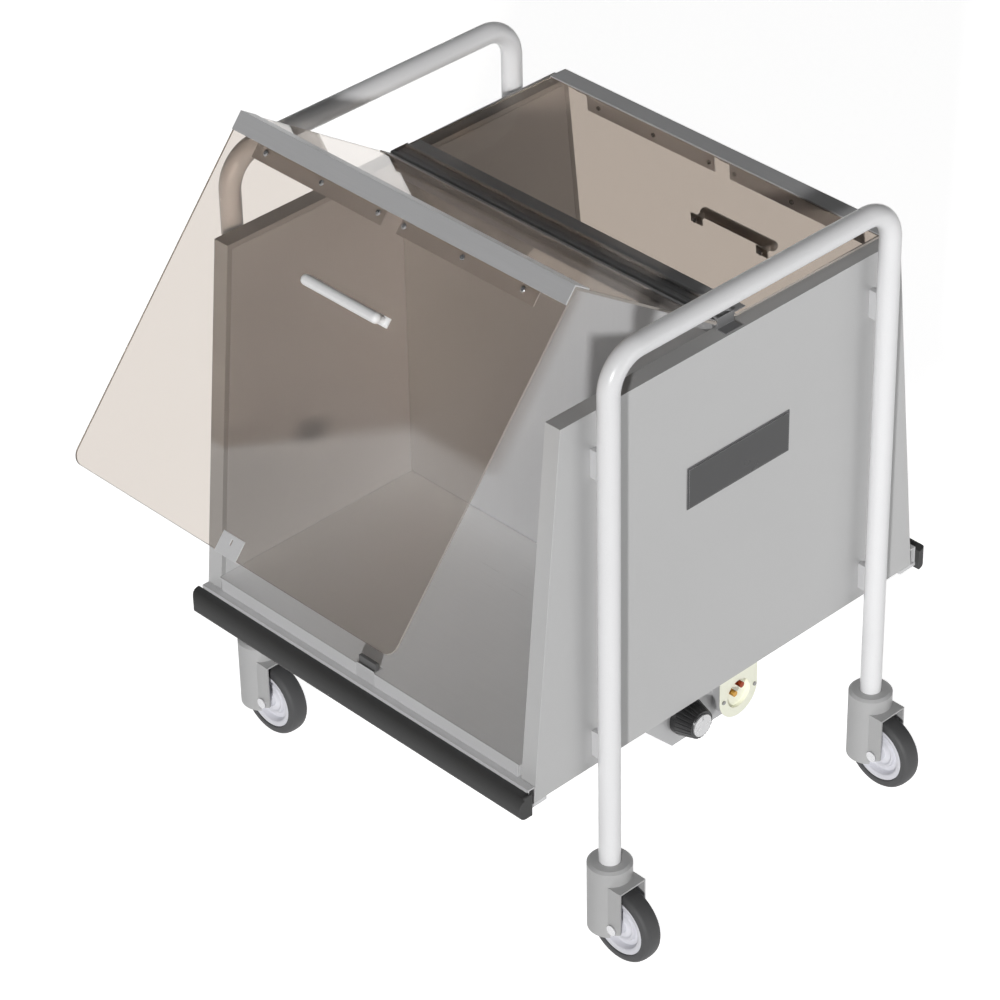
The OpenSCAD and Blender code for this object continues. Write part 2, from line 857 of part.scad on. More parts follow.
module caster_hood(n) {
    color("darkgray") at_caster(n) difference() {
        union() {
            translate([0, 0, hood_foot_z]) cylinder(r = head_r, h = head_z - head_bevel - hood_foot_z);
            translate([0, 0, head_z - head_bevel])
                cylinder(r1 = head_r, r2 = head_r - head_bevel, h = head_bevel);
            translate([0, hood_half_w, 0]) rotate([90, 0, 0]) linear_extrude(2 * hood_half_w) polygon([
                [0, hood_foot_z], cheek_foot, [nose_x, nose_foot_z], [nose_x, nose_roof_z], [0, nose_roof_z]]);
        }
        translate([-head_r - cut, -well_half_w, 0])
            cube([head_r + nose_x + 2 * cut, 2 * well_half_w, well_top_z]);
        translate([nose_well_x, cheek_t - hood_half_w, 0])
            cube([nose_x, 2 * (hood_half_w - cheek_t), nose_roof_z - roof_t]);
        translate([0, 0, well_top_z - cut]) cylinder(r = stem_r + run_fit, h = head_z);
        translate([0, 0, recess_z]) cylinder(r = recess_r, h = head_z);
        rod_y(trail, -hood_half_w - cut, 2 * (hood_half_w + cut), wheel_r, axle_r + run_fit);
    }
}

module axle(n) {
    color("lightgray") at_caster(n) {
        rod_y(trail, -hood_half_w, 2 * hood_half_w + axle_nut_h, wheel_r, axle_r);
        rod_y(trail, -hood_half_w - axle_head_h, axle_head_h, wheel_r, axle_head_r);
        translate([trail, hood_half_w, wheel_r]) rotate([-90, 0, 0])
            cylinder(r = axle_head_r, h = axle_nut_h, $fn = 6);
    }
}

module wheel_hub(n) {
    boss_w = 2 * (hood_half_w - cheek_t - seat_gap);
    color("white") at_caster(n) difference() {
        union() {
            rod_y(trail, -boss_w / 2, boss_w, wheel_r, hub_boss_r);
            rod_y(trail, -web_t / 2, web_t, wheel_r, hub_r);
            difference() {
                rod_y(trail, -hub_rim_w / 2, hub_rim_w, wheel_r, hub_r);
                rod_y(trail, -hub_rim_w / 2 - cut, hub_rim_w + 2 * cut, wheel_r, hub_rim_r);
            }
        }
        rod_y(trail, -hood_half_w, 2 * hood_half_w, wheel_r, axle_r + run_fit);
    }
}

module tyre(n) {
    half = tyre_w / 2;
    color("dimgray") at_caster(n) translate([trail, 0, wheel_r]) rotate([90, 0, 0]) rotate_extrude() {
        translate([hub_r + run_fit, -half]) square([wheel_r - shoulder_r - hub_r - run_fit, tyre_w]);
        translate([wheel_r - shoulder_r, shoulder_r - half]) square([shoulder_r, tyre_w - 2 * shoulder_r]);
        for (side = [-1, 1])
            translate([wheel_r - shoulder_r, side * (half - shoulder_r)]) circle(shoulder_r);
    }
}

outer_skin_left();
outer_skin_right();
wall_liners();
insulation();
base_pan();
deck_plate();
heating_element();
divider();
centre_beam();
beam_brackets();
fixed_hinge_leaves();
hinge_pins();
handle_frame_left();
handle_frame_right();
standoff_tabs();
standoff_bolts();
bumper_front();
bumper_rear();
lid_catches();
catch_pads();
nameplate();
control_housing();
thermostat();
power_inlet();
inlet_pins();
caster_stems();
knob();
knob_cap();
front_place() top_sheet();  // top_sheet_front
front_place() front_sheet();  // front_sheet_front
front_place() corner_rail();  // corner_rail_front
front_place() clamp_strips();  // clamp_strips_front
front_place() lid_screws();  // lid_screws_front
front_place() lid_handle();  // lid_handle_front
front_place() hinge_leaf();  // hinge_leaf_front
front_place() strike_plate();  // strike_plate_front
rear_place() top_sheet();  // top_sheet_rear
rear_place() front_sheet();  // front_sheet_rear
rear_place() corner_rail();  // corner_rail_rear
rear_place() clamp_strips();  // clamp_strips_rear
rear_place() lid_screws();  // lid_screws_rear
rear_place() lid_handle();  // lid_handle_rear
rear_place() hinge_leaf();  // hinge_leaf_rear
rear_place() strike_plate();  // strike_plate_rear
caster_hood(1);  // caster_hood_1
axle(1);  // axle_1
wheel_hub(1);  // wheel_hub_1
tyre(1);  // tyre_1
caster_hood(2);  // caster_hood_2
axle(2);  // axle_2
wheel_hub(2);  // wheel_hub_2
tyre(2);  // tyre_2
caster_hood(3);  // caster_hood_3
axle(3);  // axle_3
wheel_hub(3);  // wheel_hub_3
tyre(3);  // tyre_3
caster_hood(4);  // caster_hood_4
axle(4);  // axle_4
wheel_hub(4);  // wheel_hub_4
tyre(4);  // tyre_4
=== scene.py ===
import json
import math

import bmesh
import bpy
from mathutils import Matrix, Vector


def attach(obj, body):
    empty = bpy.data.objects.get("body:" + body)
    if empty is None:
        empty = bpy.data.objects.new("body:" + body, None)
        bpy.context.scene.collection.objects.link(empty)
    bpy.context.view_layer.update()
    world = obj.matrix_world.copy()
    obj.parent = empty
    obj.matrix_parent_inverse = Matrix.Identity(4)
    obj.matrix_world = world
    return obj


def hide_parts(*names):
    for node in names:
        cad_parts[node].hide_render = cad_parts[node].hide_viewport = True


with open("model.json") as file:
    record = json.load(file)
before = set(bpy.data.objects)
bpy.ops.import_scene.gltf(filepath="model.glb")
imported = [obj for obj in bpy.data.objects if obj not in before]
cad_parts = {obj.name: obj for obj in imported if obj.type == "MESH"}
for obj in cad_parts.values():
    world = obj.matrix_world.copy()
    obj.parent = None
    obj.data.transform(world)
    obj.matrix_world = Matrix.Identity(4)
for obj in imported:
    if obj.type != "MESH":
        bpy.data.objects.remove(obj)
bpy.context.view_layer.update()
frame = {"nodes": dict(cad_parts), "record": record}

MM = 0.001

scene = bpy.context.scene
scene.view_settings.view_transform = "Standard"

# The camera that the photograph's straight edges give. Its roll is in degrees, the sensor in mm
CAMERA_PLACE = (3.4162, -3.3515, 3.7942)
CAMERA_AIM = (-0.5851, 0.5740, -0.5728)
CAMERA_ROLL = -0.642
FOCAL_PIXELS, PHOTO_PIXELS, SENSOR = 4045.88, 1000, 36
SIDE_SHIFT, FURTHEST = -0.05995, 100

# The studio: the sky's grey and its strength at the horizon and overhead, the floor and the lamps.
# A far lamp's softness is in degrees, and its travel is the way that its light goes
SKY = 0.050876
SIDE_LIGHT, TOP_LIGHT = 0.46, 1.45
FLOOR_HALF, FLOOR_GLOW = 14, 0.88
KEY_STRENGTH, KEY_SOFTNESS, KEY_TRAVEL = 2.35, 2.5, (-0.58, 0.78, -0.30)
REAR_STRENGTH, REAR_SOFTNESS, REAR_TRAVEL = 2.4, 30, (0.66, -0.70, 0.0)
FILL_POWER, FILL_WIDTH = 24, 2.2
FILL_PLACE, FILL_AIM = (3.6, 0.9, 1.1), (0, 0, 0.6)
LAMP_DISTANCE = 4


def body_of(node):
    """The body that a CAD node belongs to."""
    for body, members in frame["record"]["behaviour"]["bodies"].items():
        if node in members:
            return body
    raise ValueError(node)


def slot_of(node):
    """The material slot of a CAD node."""
    for entry in frame["record"]["subparts"]:
        if entry["node"] == node:
            return entry["material_slot"]
    raise ValueError(node)


def place(name, data):
    """A new object in the scene."""
    thing = bpy.data.objects.new(name, data)
    scene.collection.objects.link(thing)
    return thing


def new_material(name):
    """A material: (itself, its node tree, its Principled BSDF)."""
    material = bpy.data.materials.new(name)
    material.use_nodes = True
    tree = material.node_tree
    return material, tree, tree.nodes["Principled BSDF"]


def feed(tree, socket, value):
    """Sets an input to a value, or links another node's output to it."""
    if isinstance(value, bpy.types.NodeSocket):
        tree.links.new(value, socket)
    else:
        socket.default_value = value


def maths(tree, operation, a, b=0.0, c=None, clamp=False):
    """A Math node on numbers or outputs."""
    node = tree.nodes.new("ShaderNodeMath")
    node.operation = operation
    node.use_clamp = clamp
    for socket, value in zip(node.inputs, (a, b, c)):
        if value is not None:
            feed(tree, socket, value)
    return node.outputs[0]


# Which of a Mix node's inputs is the first of each kind, and which output gives the result
MIX_SOCKETS = {"FLOAT": (2, 0), "RGBA": (6, 2)}


def pick(tree, kind, share, under, over):
    """A Mix node: under where the share is 0, over where it is 1."""
    node = tree.nodes.new("ShaderNodeMix")
    node.data_type = kind
    first, result = MIX_SOCKETS[kind]
    tree.links.new(share, node.inputs[0])
    feed(tree, node.inputs[first], under)
    feed(tree, node.inputs[first + 1], over)
    return node.outputs[result]


def pick_shader(tree, share, under, over):
    """A Mix Shader node: under where the share is 0, over where it is 1."""
    node = tree.nodes.new("ShaderNodeMixShader")
    for socket, value in zip(node.inputs, (share, under, over)):
        tree.links.new(value, socket)
    return node.outputs[0]


def make_camera():
    """A camera at the photograph's place."""
    forward = Vector(CAMERA_AIM).normalized()
    roll = math.radians(CAMERA_ROLL)
    level = forward.cross(Vector((0, 0, 1))).normalized()
    upright = level.cross(forward)
    right = math.cos(roll) * level + math.sin(roll) * upright
    up = -math.sin(roll) * level + math.cos(roll) * upright
    data = bpy.data.cameras.new("photo_camera")
    data.sensor_width = SENSOR
    data.lens = FOCAL_PIXELS * SENSOR / PHOTO_PIXELS
    data.shift_x = SIDE_SHIFT
    data.clip_end = FURTHEST
    camera = place("photo_camera", data)
    turn = Matrix((right, up, -forward)).transposed()
    camera.matrix_world = Matrix.Translation(Vector(CAMERA_PLACE)) @ turn.to_4x4()
    scene.camera = camera


def make_floor():
    """A floor that is white wherever it is seen, and clear from beneath."""
    material, tree, paint = new_material("studio_floor")
    paint.inputs["Base Color"].default_value = (0.8, 0.8, 0.8, 1)
    paint.inputs["Roughness"].default_value = 0.9
    paint.inputs["Specular IOR Level"].default_value = 0.1
    paint.inputs["Emission Color"].default_value = (1, 1, 1, 1)
    rays = tree.nodes.new("ShaderNodeLightPath").outputs
    seen = maths(tree, "MAXIMUM", rays["Is Camera Ray"], rays["Is Transmission Ray"])
    seen = maths(tree, "MAXIMUM", seen, rays["Is Glossy Ray"])
    glow = maths(tree, "MULTIPLY", seen, FLOOR_GLOW)
    tree.links.new(glow, paint.inputs["Emission Strength"])
    underside = tree.nodes.new("ShaderNodeNewGeometry").outputs["Backfacing"]
    beneath = maths(tree, "MULTIPLY", underside, rays["Is Camera Ray"])
    clear = tree.nodes.new("ShaderNodeBsdfTransparent").outputs[0]
    surface = pick_shader(tree, beneath, paint.outputs[0], clear)
    tree.links.new(surface, tree.nodes["Material Output"].inputs["Surface"])
    mesh = bpy.data.meshes.new("studio_floor")
    half = FLOOR_HALF
    corners = [(-half, -half, 0), (half, -half, 0), (half, half, 0), (-half, half, 0)]
    mesh.from_pydata(corners, [], [(0, 1, 2, 3)])
    mesh.materials.append(material)
    place("studio_floor", mesh)


def make_world():
    """Even light from a grey sky, which is white where the camera sees it past the floor."""
    world = bpy.data.worlds.new("studio")
    world.use_nodes = True
    scene.world = world
    tree = world.node_tree
    back = tree.nodes["Background"]
    back.inputs["Color"].default_value = (SKY, SKY, SKY, 1)
    rays = tree.nodes.new("ShaderNodeLightPath").outputs
    coords = tree.nodes.new("ShaderNodeTexCoord")
    split = tree.nodes.new("ShaderNodeSeparateXYZ")
    ramp = tree.nodes.new("ShaderNodeMapRange")
    ramp.inputs["To Min"].default_value = SIDE_LIGHT
    ramp.inputs["To Max"].default_value = TOP_LIGHT
    tree.links.new(coords.outputs["Generated"], split.inputs[0])
    tree.links.new(split.outputs["Z"], ramp.inputs["Value"])
    strength = ramp.outputs[0]

    # A sheet shows the white sky only where the ray comes straight from the camera
    bounces = maths(tree, "ADD", rays["Diffuse Depth"], rays["Glossy Depth"])
    straight = maths(tree, "LESS_THAN", bounces, 0.5)
    through = maths(tree, "MULTIPLY", rays["Is Transmission Ray"], straight)
    for ray, value in ((rays["Is Glossy Ray"], 1), (rays["Is Transmission Ray"], 1),
                       (through, 1 / SKY), (rays["Is Camera Ray"], 1 / SKY)):
        strength = pick(tree, "FLOAT", ray, strength, value)
    tree.links.new(strength, back.inputs["Strength"])


def far_lamp(name, strength, softness, travel):
    """A sun whose light goes along travel. The softness is its width in degrees."""
    light = bpy.data.lights.new(name, "SUN")
    light.energy = strength
    light.angle = math.radians(softness)
    lamp = place(name, light)
    travel = Vector(travel).normalized()
    lamp.rotation_euler = travel.to_track_quat("-Z", "Y").to_euler()
    lamp.location = -LAMP_DISTANCE * travel
    return lamp


def make_lights():
    """A key lamp, a soft one for the sides it misses, and a disc that fills the near end."""
    far_lamp("key", KEY_STRENGTH, KEY_SOFTNESS, KEY_TRAVEL)
    rear = far_lamp("rear_fill", REAR_STRENGTH, REAR_SOFTNESS, REAR_TRAVEL)
    rear.visible_glossy = False
    rear.visible_transmission = False
    fill = bpy.data.lights.new("fill", "AREA")
    fill.energy = FILL_POWER
    fill.shape = "DISK"
    fill.size = FILL_WIDTH
    lamp = place("fill", fill)
    lamp.location = FILL_PLACE
    aim = Vector(FILL_AIM) - Vector(FILL_PLACE)
    lamp.rotation_euler = aim.to_track_quat("-Z", "Y").to_euler()


# Shader groups


def add_socket(tree, label, way, kind, value=None):
    """A socket of a group, in or out."""
    socket = tree.interface.new_socket(name=label, in_out=way, socket_type="NodeSocket" + kind)
    if value is not None:
        socket.default_value = value


def new_group(name, inputs, outputs):
    """An empty shader group: (tree, its inputs, its outputs)."""
    tree = bpy.data.node_groups.new(name, "ShaderNodeTree")
    for label, kind, value in inputs:
        add_socket(tree, label, "INPUT", kind, value)
    for label, kind in outputs:
        add_socket(tree, label, "OUTPUT", kind)
    return tree, tree.nodes.new("NodeGroupInput"), tree.nodes.new("NodeGroupOutput")


def noise(tree, vector, scale, detail, rough=0.5):
    """A Noise Texture node's value, about 0.5."""
    node = tree.nodes.new("ShaderNodeTexNoise")
    node.inputs["Detail"].default_value = detail
    node.inputs["Roughness"].default_value = rough
    feed(tree, node.inputs["Vector"], vector)
    feed(tree, node.inputs["Scale"], scale)
    return node.outputs["Fac"]


def brushed_lines():
    """Fine lines along one axis: the stretch vector is small along the lines."""
    tree, take, give = new_group(
        "brushed_lines",
        [("Position", "Vector", (0, 0, 0)), ("Stretch", "Vector", (1, 1, 1))],
        [("Height", "Float"), ("Shade", "Float")])
    coarse_scale, coarse_share, middle = 0.22, 0.5, 0.75
    scaled = tree.nodes.new("ShaderNodeVectorMath")
    scaled.operation = "MULTIPLY"
    tree.links.new(take.outputs["Position"], scaled.inputs[0])
    tree.links.new(take.outputs["Stretch"], scaled.inputs[1])
    fine = noise(tree, scaled.outputs[0], 1.0, 4.0, 0.6)
    coarse = noise(tree, scaled.outputs[0], coarse_scale, 2.0)
    both = maths(tree, "MULTIPLY_ADD", coarse, coarse_share, fine)
    tree.links.new(both, give.inputs["Height"])
    tree.links.new(maths(tree, "SUBTRACT", both, middle), give.inputs["Shade"])
    return tree


def edge_mask():
    """1 on a worn outer or inner edge, 0 on a flat face."""
    tree, take, give = new_group(
        "edge_mask",
        [("Position", "Vector", (0, 0, 0)), ("Radius", "Float", 0.001),
         ("Patchiness", "Float", 0.5)],
        [("Mask", "Float")])
    bend_gain, patch_scale, patch_floor = 6.0, 60.0, 0.4
    bevel = tree.nodes.new("ShaderNodeBevel")
    bevel.samples = 4
    tree.links.new(take.outputs["Radius"], bevel.inputs["Radius"])
    face = tree.nodes.new("ShaderNodeNewGeometry")
    dot = tree.nodes.new("ShaderNodeVectorMath")
    dot.operation = "DOT_PRODUCT"
    tree.links.new(bevel.outputs[0], dot.inputs[0])
    tree.links.new(face.outputs["Normal"], dot.inputs[1])
    bend = maths(tree, "SUBTRACT", 1.0, dot.outputs["Value"])
    bend = maths(tree, "MULTIPLY", bend, bend_gain, clamp=True)
    patch = noise(tree, take.outputs["Position"], patch_scale, 3.0)
    patch = maths(tree, "MULTIPLY_ADD", patch, take.outputs["Patchiness"], patch_floor, clamp=True)
    tree.links.new(maths(tree, "MULTIPLY", bend, patch, clamp=True), give.inputs["Mask"])
    return tree


def pebble():
    """Fine moulded or painted grain."""
    tree, take, give = new_group(
        "pebble", [("Position", "Vector", (0, 0, 0)), ("Scale", "Float", 900.0)],
        [("Height", "Float")])
    fine = noise(tree, take.outputs["Position"], take.outputs["Scale"], 2.0, 0.55)
    tree.links.new(fine, give.inputs["Height"])
    return tree


def mottle():
    """Slow changes of tone over a surface, about 0."""
    tree, take, give = new_group(
        "mottle", [("Position", "Vector", (0, 0, 0)), ("Scale", "Float", 5.0)],
        [("Shade", "Float")])
    slow = noise(tree, take.outputs["Position"], take.outputs["Scale"], 3.0, 0.5)
    tree.links.new(maths(tree, "SUBTRACT", slow, 0.5), give.inputs["Shade"])
    return tree


GROUPS = {"lines": brushed_lines(), "edge": edge_mask(), "pebble": pebble(),
          "mottle": mottle()}


def place_group(tree, name, position, **values):
    """One of the groups in a material, with its values set."""
    node = tree.nodes.new("ShaderNodeGroup")
    node.node_tree = GROUPS[name]
    tree.links.new(position, node.inputs["Position"])
    for label, value in values.items():
        node.inputs[label].default_value = value
    return node


def linear(value):
    """The linear value of a grey written 0 to 255 on screen."""
    v = value / 255
    return v / 12.92 if v <= 0.04045 else ((v + 0.055) / 1.055) ** 2.4


def tone(r, g, b):
    """A colour written 0 to 255 on screen, as the nodes take it."""
    return (linear(r), linear(g), linear(b), 1)


def shaded(tree, colour, gain):
    """A colour made lighter or darker by a gain."""
    node = tree.nodes.new("ShaderNodeVectorMath")
    node.operation = "SCALE"
    feed(tree, node.inputs[0], colour)
    tree.links.new(gain, node.inputs["Scale"])
    return node.outputs[0]


# How strongly the lines and the grain shade and roughen a surface, and wear smooths it
LINES_ROUGHEN, GRAIN_SHADES, WEAR_ROUGHENS = 0.25, 0.10, -0.15
WEAR_PATCHINESS, LEAST_ROUGHNESS = 0.9, 0.03


def finish(name, colour, metal, rough, lines=None, grain=None, wear=None,
           drift=(4.0, 0.05), rough_drift=0.08, sheen=0.0, specular=0.5, beyond=()):
    """A surface finish.
    lines: (stretch, height in m, shade), grain: (scale, height in m),
    wear: (radius, colour, amount), drift: (scale, amount) of slow tone changes,
    beyond: ((axis, middle, distance), colour), for what is further out than the distance."""
    material, tree, skin = new_material(name)
    skin.inputs["Metallic"].default_value = metal
    skin.inputs["Specular IOR Level"].default_value = specular
    skin.inputs["Sheen Weight"].default_value = sheen
    position = tree.nodes.new("ShaderNodeTexCoord").outputs["Object"]

    slow = place_group(tree, "mottle", position, Scale=drift[0]).outputs["Shade"]
    gain = maths(tree, "MULTIPLY_ADD", slow, 2 * drift[1], 1.0)
    roughness = maths(tree, "MULTIPLY_ADD", slow, 2 * rough_drift, rough)
    heights = []
    if lines:
        group = place_group(tree, "lines", position, Stretch=lines[0])
        heights.append((group.outputs["Height"], lines[1]))
        gain = maths(tree, "MULTIPLY_ADD", group.outputs["Shade"], lines[2], gain)
        roughness = maths(tree, "MULTIPLY_ADD", group.outputs["Shade"], LINES_ROUGHEN, roughness)
    if grain:
        group = place_group(tree, "pebble", position, Scale=grain[0])
        heights.append((group.outputs["Height"], grain[1]))
        off = maths(tree, "SUBTRACT", group.outputs["Height"], 0.5)
        gain = maths(tree, "MULTIPLY_ADD", off, GRAIN_SHADES, gain)
    if beyond:
        parts = tree.nodes.new("ShaderNodeSeparateXYZ")
        tree.links.new(position, parts.inputs[0])
        for (axis, middle, distance), other in beyond:
            off = maths(tree, "ABSOLUTE", maths(tree, "SUBTRACT", parts.outputs[axis], middle))
            past = maths(tree, "GREATER_THAN", off, distance)
            colour = pick(tree, "RGBA", past, colour, other)
        result = shaded(tree, colour, gain)
    else:
        result = shaded(tree, colour[:3], gain)
    if wear:
        edge = place_group(tree, "edge", position, Radius=wear[0], Patchiness=WEAR_PATCHINESS)
        amount = maths(tree, "MULTIPLY", edge.outputs["Mask"], wear[2], clamp=True)
        result = pick(tree, "RGBA", amount, result, wear[1])
        roughness = maths(tree, "MULTIPLY_ADD", amount, WEAR_ROUGHENS, roughness)
    tree.links.new(result, skin.inputs["Base Color"])
    tree.links.new(maths(tree, "MAXIMUM", roughness, LEAST_ROUGHNESS), skin.inputs["Roughness"])
    normal = None
    for height, depth in heights:
        bump = tree.nodes.new("ShaderNodeBump")
        bump.inputs["Distance"].default_value = depth
        bump.inputs["Strength"].default_value = 1
        tree.links.new(height, bump.inputs["Height"])
        if normal:
            tree.links.new(normal, bump.inputs["Normal"])
        normal = bump.outputs[0]
    if normal:
        tree.links.new(normal, skin.inputs["Normal"])
    return material


# The clear sheets: a weak reflection, a slow drift of tone, a little dust and frosted edges
SHEET_TINT = (0.68, 0.63, 0.585)
SHEET_IOR, SHEET_SPECULAR = 1.10, 0.8
SHEET_DRIFT_SCALE, SHEET_DRIFT = 3.0, 0.02
CLEAN_ROUGHNESS, DUST_ROUGHNESS, DUST_SCALE, DUST_FROM = 0.02, 0.06, 700.0, 0.80
FROSTED_TONE, FROSTED_SHARE = (176, 170, 164), 0.9


def clear_sheet(name, tint):
    """Smoked clear sheet with frosted edges, which lets the lamps' light through tinted."""
    material, tree, skin = new_material(name)
    skin.inputs["Metallic"].default_value = 0
    skin.inputs["Transmission Weight"].default_value = 1
    skin.inputs["IOR"].default_value = SHEET_IOR
    skin.inputs["Specular IOR Level"].default_value = SHEET_SPECULAR
    position = tree.nodes.new("ShaderNodeTexCoord").outputs["Object"]
    slow = place_group(tree, "mottle", position, Scale=SHEET_DRIFT_SCALE).outputs["Shade"]
    gain = maths(tree, "MULTIPLY_ADD", slow, SHEET_DRIFT, 1.0)
    tree.links.new(shaded(tree, tint, gain), skin.inputs["Base Color"])
    dust = place_group(tree, "pebble", position, Scale=DUST_SCALE).outputs["Height"]
    dust = maths(tree, "GREATER_THAN", dust, DUST_FROM)
    roughness = maths(tree, "MULTIPLY_ADD", dust, DUST_ROUGHNESS, CLEAN_ROUGHNESS)
    tree.links.new(roughness, skin.inputs["Roughness"])
    let_by = tree.nodes.new("ShaderNodeBsdfTransparent")
    let_by.inputs["Color"].default_value = (*tint, 1)
    sawn = tree.nodes.new("ShaderNodeAttribute")
    sawn.attribute_name = "sawn"
    frosting = maths(tree, "MULTIPLY", sawn.outputs["Fac"], FROSTED_SHARE)
    frosted = tree.nodes.new("ShaderNodeBsdfDiffuse")
    frosted.inputs["Color"].default_value = tone(*FROSTED_TONE)
    sheet = pick_shader(tree, frosting, skin.outputs[0], frosted.outputs[0])
    shadow = tree.nodes.new("ShaderNodeLightPath").outputs["Is Shadow Ray"]
    surface = pick_shader(tree, shadow, sheet, let_by.outputs[0])
    tree.links.new(surface, tree.nodes["Material Output"].inputs["Surface"])
    return material


# Stretches of brushed lines, and the tone of bare metal on a worn edge
ALONG_X = (12.0, 900.0, 900.0)
ALONG_Z = (900.0, 900.0, 12.0)
BARE = tone(225, 225, 226)

# Places where a finish has another colour, as (axis, middle, distance) in m: the liners and not
# the divider, painted lighter than the divider's painted shade; the curbs' outer faces, painted
# shade; the frames' tabs and not the beam's brackets, whose dark tone is painted shade; the
# catches and not the strike plates above 359.5 mm, whose light tone is painted light; the upper
# of the two pins, and the inlet's screws
END_WALLS_PAINTED_LIGHTER = ("X", 0.0, 0.3105)
CURB_FACES_PAINTED_SHADE = ("Y", 0.0, 0.3852)
FRAME_TABS_UNSHADED = ("Y", 0.0, 0.1)
CATCHES_NOT_PAINTED_LIGHT = ("Z", 10.0, 9.6405)
UPPER_PIN = ("Z", 0.2385, 0.037)
INLET_SCREWS = ("Y", 0.028, 0.025)

